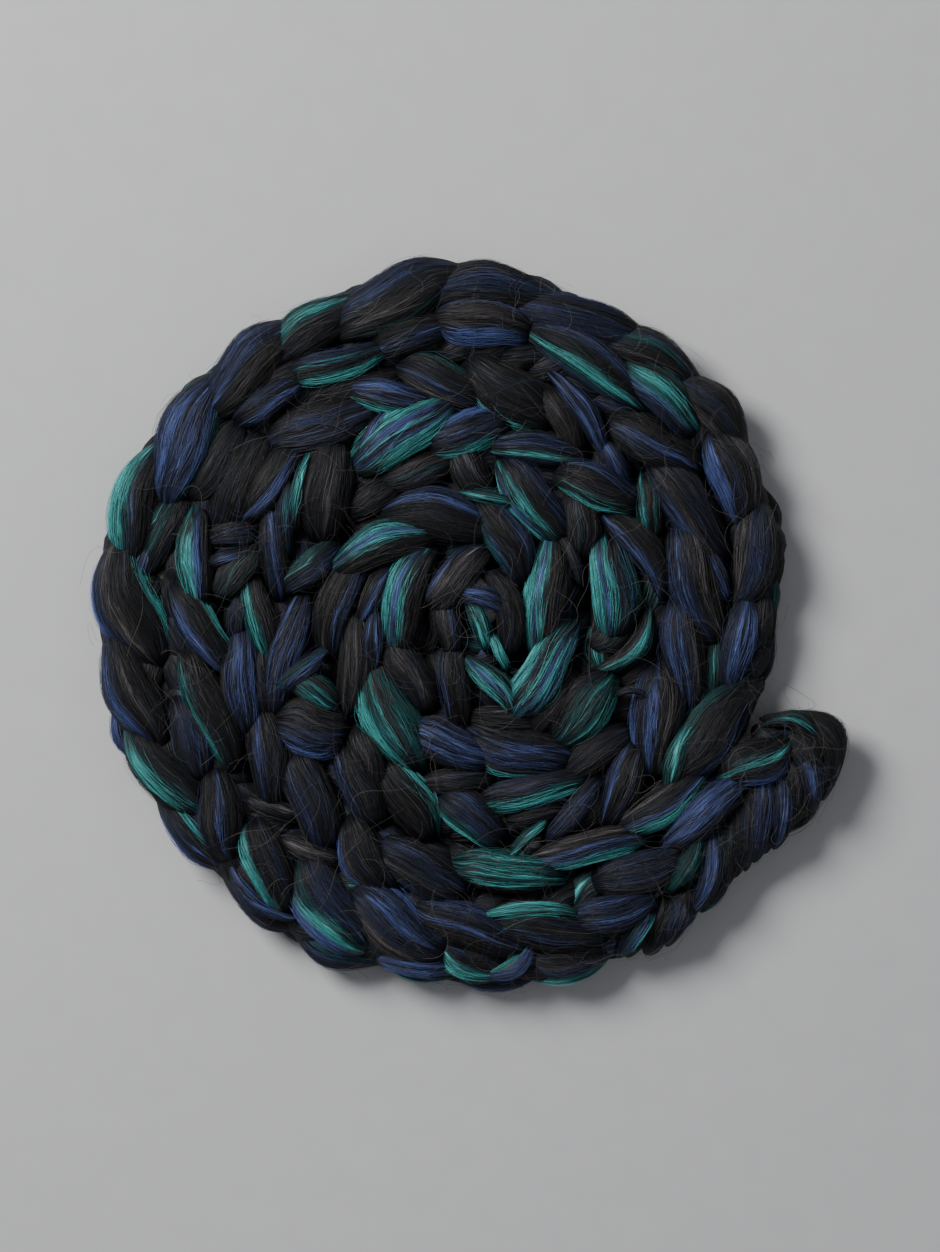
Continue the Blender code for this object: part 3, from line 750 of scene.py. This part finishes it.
def rim_rows(inset, crest, width, shift):
    """A table of strands, `inset` mm inside the rim, each laid along the rim between its ends.

    Each strand takes the fourth row of dyes after the last one's.
    """
    pitch = np.degrees(RIM_PITCH / RIM_RADIUS)
    bearing = np.radians(np.arange(NOTCH[1], NOTCH[0] + 360, pitch)) + shift
    half = RIM_LENGTH / 2 / RIM_RADIUS
    ends = []
    for turned in (bearing + half, bearing - half):
        radius = rim_reach(turned) - inset
        ends.append(np.column_stack([radius * np.cos(turned), radius * np.sin(turned)]))
    middle = rim_reach(bearing) - inset
    bow = middle - np.hypot(*(ends[0] + ends[1]).T / 2)
    return [
        (*a, *b, width, bend, 0.5, crest, RIM_DYES[(i * 4 + int(crest)) % len(RIM_DYES)])
        for i, (a, b, bend) in enumerate(zip(ends[0].tolist(), ends[1].tolist(), bow.tolist()))
    ]


for name, inset, crest, width, shift in RIM_ROWS:
    rows = with_ends(rim_rows(inset, crest, width, shift), 0.0, *AT_RIM[1:])
    fold_piece(name, rows, LOOP_RINGS, LOOP_PLACES, draw, wool, RIM_SHADE_TONE)


# ---- The heart of the braid ----
# The strand itself runs through all the loops. It fills the roving from the table up, and
# shows only as a dark ground at the bottom of the deepest gaps.

HEART_WIDTH = 43.0
HEART_DEPTH = 16.0
HEART_PITCH = 6.0
HEART_PLACES = 28
HEART_DYES = "KNKGKKNKKGKNKK"
HEART_GIRTH = 0.7       # its girth, as a share of that of a circle as wide
HEART_TAPER = 14.0      # a higher number makes its thinned ends shorter
HEART_NOISE = 3.0       # place of its fibres in the noise, in mm
HEART_RIPPLES = 30.0    # how much faster the slivers change along the heart than along a fold


def heart_piece(draw):
    """One closed tube along the middle line: a flattened round section, thinned at both ends."""
    middle, heading, stops = spiral_stops(HEART_PITCH)
    share = np.sin(np.pi * np.linspace(0.0, 1.0, len(stops))) * HEART_TAPER
    share = np.minimum(1.0, share) ** 0.5
    angle = 2 * np.pi * np.arange(HEART_PLACES) / HEART_PLACES - np.pi / 2
    along = np.linspace(0.0, 1.0, len(stops))[None, :, None]
    relief = sliver_ridges((angle / (2 * np.pi))[None, None, :], along * HEART_RIPPLES, draw)
    relief = 1 + relief[0]
    reach = HEART_WIDTH / 2 * share[:, None] * np.cos(angle) * relief
    x = middle[:, :1] - reach * np.sin(heading)[:, None]
    y = middle[:, 1:] + reach * np.cos(heading)[:, None]
    rise = HEART_DEPTH / 2 * (1 + share[:, None] * np.sin(angle) * relief)
    skin = np.stack([x, y, np.maximum(rise, FLOOR_GAP)], axis=-1)[None]
    turn = np.pi * HEART_WIDTH * HEART_GIRTH * angle / (2 * np.pi)
    fibre = np.stack(np.broadcast_arrays(stops[None, :, None], turn, HEART_NOISE), axis=-1)
    across = np.broadcast_to((1 - np.cos(angle)) / 2, skin.shape[:3])
    # Painted shade darkens the heart's dyes by as much as the loops'.
    attributes = {"fibre": fibre * MM, "tone": np.full(across.shape, LOOP_SHADE_TONE)}
    attributes.update(dye_attributes([(HEART_DYES,)], across))
    tube_piece("heart", skin, attributes, wool)


heart_piece(draw)


# ---- Loose fibres ----
# Combed wool is never quite smooth. Single fibres lie over the folds and lift off them at
# one end, most of all at the rim, and some stray ones wander across from fold to fold.

HAIR_RADIUS = 0.065     # thicker than life, or it would not show
RIM_THINNING = 0.7      # radius of the fibres at the rim, as a share of HAIR_RADIUS
STRAY_THINNING = 0.95   # radius of the stray ones, as a share of it
HAIR_RINGS = 6
HAIR_ROUGHNESS = 0.5
HAIR_SPECULAR = 0.3
PALE = (0.13, 0.12, 0.11)       # undyed fibres
PALE_SHARE = 0.03
GAIN = (1.5, 0.006)     # single fibres catch more light: times the first, plus the second

# Fibres that follow a fold. Each takes up so much of its length, and ends within a margin.
LYING_REACH = (0.3, 0.7)
LYING_MARGIN = 0.08
LYING_SIDES = 0.3       # how far below a fold's sides they start, in radians
LYING_DRIFT = 0.22      # how far they drift round it, in radians
LYING_LIFT = 0.12       # clearance from the skin, in mm
LYING_ARCH = 0.45       # usual height of the arch above that
LYING_SCATTER = 0.18    # unevenness towards the free end

# For each group of them: how many there are, and how far their free ends usually stand off.
OVER, BETWEEN, AT_EDGE = (8200, 0.4), (8200, 0.4), (3600, 1.3)
RIM_FOLD = 125.0        # folds with middles farther out than this are at the rim, in mm
DRAWN_IN = 5.0          # what is left past the rim is divided by this

# Stray fibres, which wander from fold to fold.
STRAYS = 760
STRAY_RINGS = 16
STRAY_LENGTH = (12.0, 50.0)
STRAY_TURN = 1.6        # usual turn from end to end, in radians
STRAY_SWING = (0.2, 1.0)        # how far a wave swings them from side to side, in radians
STRAY_SLOPE = 0.4       # greatest rise or fall of a stray fibre, as a share of its run
STRAY_LOWEST = 5.0      # lowest height of one, in mm
STRAY_LIFT = 0.3        # clearance above the folds, in mm
STRAY_ARCH = 0.8        # usual height of the arch above that
STRAY_COLOURS = np.array([PALE, DYES["G"], (0.035, 0.055, 0.11), (0.06, 0.056, 0.055)])


def hair_points(lines, radius):
    """Three-sided tubes along lines of points, with a point at each end.

    Each ring is a triangle square to the line: its middle, plus the radius times the cosine
    of the angle to the left, plus the radius times the sine upwards.
    """
    ahead = np.gradient(lines, axis=1)
    ahead /= np.linalg.norm(ahead, axis=-1, keepdims=True) + 1e-9
    left = np.cross([0.0, 0.0, 1.0], ahead)
    left /= np.linalg.norm(left, axis=-1, keepdims=True) + 1e-9
    up = np.cross(ahead, left)
    angle = 2 * np.pi * np.arange(3)[:, None] / 3
    thin = np.full(lines.shape[1], radius)
    thin[[0, -1]] = 0.0
    offset = np.cos(angle) * left[:, :, None] + np.sin(angle) * up[:, :, None]
    return lines[:, :, None] + thin[None, :, None, None] * offset


def hair_piece(name, lines, colours, radius):
    """One object of fibres, each a thin tube in one colour."""
    skin = hair_points(lines, radius)
    dye = np.broadcast_to(colours[:, None, None], skin.shape)
    tube_piece(name, skin, {"dye": dye}, loose_fibre)


def single_fibre(name):
    """Material of a single fibre, in its own colour, with the soft gloss of wool."""
    material = bpy.data.materials.new(name)
    material.use_nodes = True
    nodes, links = material.node_tree.nodes, material.node_tree.links
    shader = nodes["Principled BSDF"]
    dye = nodes.new("ShaderNodeAttribute")
    dye.attribute_name = "dye"
    links.new(dye.outputs["Color"], shader.inputs["Base Color"])
    shader.inputs["Roughness"].default_value = HAIR_ROUGHNESS
    shader.inputs["Specular IOR Level"].default_value = HAIR_SPECULAR
    return material


def lying_fibres(rows, count, stand_off, draw):
    """Middle lines and colours of fibres that follow the folds.

    A fibre runs along a part of its fold, and drifts round it a little. It is lifted off the
    skin by a low arch, and towards its free end by the cube of the place along it.
    """
    numbers = np.array([row[:-1] for row in rows], float)
    x0, y0, x1, y1, width = numbers.T[:5]
    area = width * np.hypot(x1 - x0, y1 - y0)
    chosen = draw.choice(len(rows), count, p=area / area.sum())
    picked = [rows[i] for i in chosen]
    many = (count, 1, 1)
    step = np.linspace(0.0, 1.0, HAIR_RINGS)[None, :, None]
    reach = draw.uniform(*LYING_REACH, many)
    start = draw.uniform(LYING_MARGIN, 1 - LYING_MARGIN - reach)
    backwards = draw.random(many) < 0.5
    along = start + reach * np.where(backwards, 1 - step, step)
    angle = draw.uniform(-LYING_SIDES, np.pi + LYING_SIDES, many)
    angle = angle + draw.normal(0.0, LYING_DRIFT, many) * step
    lift = LYING_LIFT + draw.exponential(LYING_ARCH, many) * np.sin(np.pi * step)
    lift = lift + draw.exponential(stand_off, many) * step**3
    lines = fold_skin(picked, along, angle, lift=lift)[:, :, 0]
    lines = lines + draw.normal(0.0, LYING_SCATTER, lines.shape) * step
    across = (1 - np.cos(angle[:, :1])) / 2
    dyes = dye_attributes(picked, across)
    share = np.clip(dyes["dye_share"], 0, 1)[..., None]
    colours = (dyes["dye_a"] * (1 - share) + dyes["dye_b"] * share)[:, 0, 0]
    pale = draw.random((count, 1)) < PALE_SHARE
    times, plus = GAIN
    return lines, np.where(pale, PALE, colours * times + plus)


def crest_height(points, rows):
    """Height of the highest fold at each place, from every fold's leaf shape."""
    x0, y0, x1, y1, width, bow, widest, crest = np.array([row[:-3] for row in rows], float).T
    length = np.hypot(x1 - x0, y1 - y0)
    run_x, run_y = (x1 - x0) / length, (y1 - y0) / length
    dx, dy = points[..., :1] - x0, points[..., 1:2] - y0
    reach = dx * run_x + dy * run_y
    along = np.clip(reach / length, 0.001, 0.999)
    side = dy * run_x - dx * run_y - 4 * bow * along * (1 - along)
    past = reach - along * length
    half = np.maximum(width / 2 * leaf_share(along, widest), 0.1)
    return (crest - FOLD_DEPTH * (side**2 + past**2) / half).max(axis=-1)


def stray_fibres(rows, count, draw):
    """Middle lines of fibres that wander over the folds, in slow curves, resting on crests.

    A fibre's bearing is a start value, plus a steady turn, plus a sine wave. Its height is
    that of the folds below, raised over gaps until it spans them and climbs no steeper than
    STRAY_SLOPE, plus a low arch.
    """
    numbers = np.array([row[:4] for row in rows], float)
    chosen = draw.choice(len(rows), count)
    spot = draw.random((count, 1))
    begin = numbers[chosen, 0:2] * (1 - spot) + numbers[chosen, 2:4] * spot
    step = np.linspace(0.0, 1.0, STRAY_RINGS)[None, :]
    many = (count, 1)
    bearing = draw.uniform(0, 2 * np.pi, many) + draw.normal(0, STRAY_TURN, many) * step
    swing = draw.uniform(*STRAY_SWING, many)
    bearing = bearing + swing * np.sin(2 * np.pi * (step + draw.uniform(0, 1, many)))
    stride = draw.uniform(*STRAY_LENGTH, many) / STRAY_RINGS
    x = begin[:, :1] + np.cumsum(stride * np.cos(bearing), axis=1)
    y = begin[:, 1:] + np.cumsum(stride * np.sin(bearing), axis=1)
    height = np.maximum(crest_height(np.stack([x, y], axis=-1), rows), STRAY_LOWEST)
    for _ in range(STRAY_RINGS):
        height[:, 1:-1] = np.maximum(height[:, 1:-1], (height[:, :-2] + height[:, 2:]) / 2)
        height[:, 1:] = np.maximum(height[:, 1:], height[:, :-1] - STRAY_SLOPE * stride)
        height[:, :-1] = np.maximum(height[:, :-1], height[:, 1:] - STRAY_SLOPE * stride)
    z = height + STRAY_LIFT + draw.exponential(STRAY_ARCH, many) * np.sin(np.pi * step)
    return np.stack([x, y, z], axis=-1)


def drawn_in(lines):
    """The same lines, with what stands out past the rim drawn in, divided by DRAWN_IN."""
    radius = np.hypot(lines[..., 0], lines[..., 1])
    rim = rim_reach(np.arctan2(lines[..., 1], lines[..., 0]))
    kept = np.minimum(radius, rim + (radius - rim) / DRAWN_IN) / radius
    return lines * np.stack([kept, kept, np.ones_like(kept)], axis=-1)


loose_fibre = single_fibre("loose fibre")
hair_piece("fibres_over", *lying_fibres(all_folds, *OVER, draw), HAIR_RADIUS)
hair_piece("fibres_between", *lying_fibres(all_folds, *BETWEEN, draw), HAIR_RADIUS)
rim_folds = [row for row in all_folds if np.hypot(row[0] + row[2], row[1] + row[3]) / 2 > RIM_FOLD]
lines, colours = lying_fibres(rim_folds, *AT_EDGE, draw)
hair_piece("fibres_at_rim", drawn_in(lines), colours, HAIR_RADIUS * RIM_THINNING)
strays = drawn_in(stray_fibres(all_folds, STRAYS, draw))
colours = STRAY_COLOURS[draw.integers(0, len(STRAY_COLOURS), len(strays))]
hair_piece("fibres_stray", strays, colours, HAIR_RADIUS * STRAY_THINNING)


# ---- The table, the light and the camera ----
# The roving lies on a plain pale table, lit by a large soft light from the upper left, and
# is seen from straight above.

VIEW_HEIGHT = 2.5                     # from the table to the camera, in metres
VIEW_CENTRE = (0.0018, -0.0018)       # the place under the camera
VIEW_SPAN = 0.5634                    # length of table seen along the frame's long side
FOLD_LEVEL = 0.022                    # the height at which the view's span is true
SENSOR = 36.0                         # width of the camera's sensor, in millimetres

TABLE_HALF = 6.0                      # half of the table's side, in metres
TABLE_TONES = (0.50, 0.54)            # the darkest and the lightest grey of its grain
TABLE_GRAIN = 60.0                    # grains a metre
TABLE_ROUGHNESS = 0.9

# The lights. Columns: name, place in metres, size in metres, power in watts.
LIGHTS = (
    ("window", (-1.15, 0.95, 1.45), 0.9, 58.0),
    ("bounce", (1.2, -0.4, 1.8), 1.4, 3.0),
)
ROOM_COLOUR = (0.86, 0.90, 1.0, 1.0)  # the cool light that comes from all round
ROOM_STRENGTH = 0.21


def pale_table():
    """A flat square, larger than any view shows, in matt pale grey with a faint grain."""
    mesh = bpy.data.meshes.new("table")
    half = TABLE_HALF
    corners = [(-half, -half, 0), (half, -half, 0), (half, half, 0), (-half, half, 0)]
    mesh.from_pydata(corners, [], [(0, 1, 2, 3)])
    material = bpy.data.materials.new("pale table")
    material.use_nodes = True
    nodes, links = material.node_tree.nodes, material.node_tree.links
    shader = nodes["Principled BSDF"]
    place = nodes.new("ShaderNodeTexCoord")
    grain = nodes.new("ShaderNodeTexNoise")
    grain.inputs["Scale"].default_value = TABLE_GRAIN
    links.new(place.outputs["Object"], grain.inputs["Vector"])
    tone = nodes.new("ShaderNodeMapRange")
    tone.inputs["To Min"].default_value, tone.inputs["To Max"].default_value = TABLE_TONES
    links.new(grain.outputs["Fac"], tone.inputs["Value"])
    links.new(tone.outputs["Result"], shader.inputs["Base Color"])
    shader.inputs["Roughness"].default_value = TABLE_ROUGHNESS
    mesh.materials.append(material)
    table = bpy.data.objects.new("table", mesh)
    bpy.context.scene.collection.objects.link(table)


def soft_light(name, place, size, power):
    """A square area light that faces the middle of the roving."""
    light = bpy.data.lights.new(name, "AREA")
    light.size = size
    light.energy = power
    lamp = bpy.data.objects.new(name, light)
    lamp.location = place
    lamp.rotation_euler = (-Vector(place)).to_track_quat("-Z", "Y").to_euler()
    bpy.context.scene.collection.objects.link(lamp)


pale_table()
for name, place, size, power in LIGHTS:
    soft_light(name, place, size, power)
world = bpy.data.worlds.new("room")
world.use_nodes = True
background = world.node_tree.nodes["Background"]
background.inputs["Color"].default_value = ROOM_COLOUR
background.inputs["Strength"].default_value = ROOM_STRENGTH
bpy.context.scene.world = world

lens = bpy.data.cameras.new("camera")
lens.sensor_width = SENSOR
lens.lens = SENSOR * (VIEW_HEIGHT - FOLD_LEVEL) / VIEW_SPAN
camera = bpy.data.objects.new("camera", lens)
camera.location = (*VIEW_CENTRE, VIEW_HEIGHT)
bpy.context.scene.collection.objects.link(camera)
bpy.context.scene.camera = camera
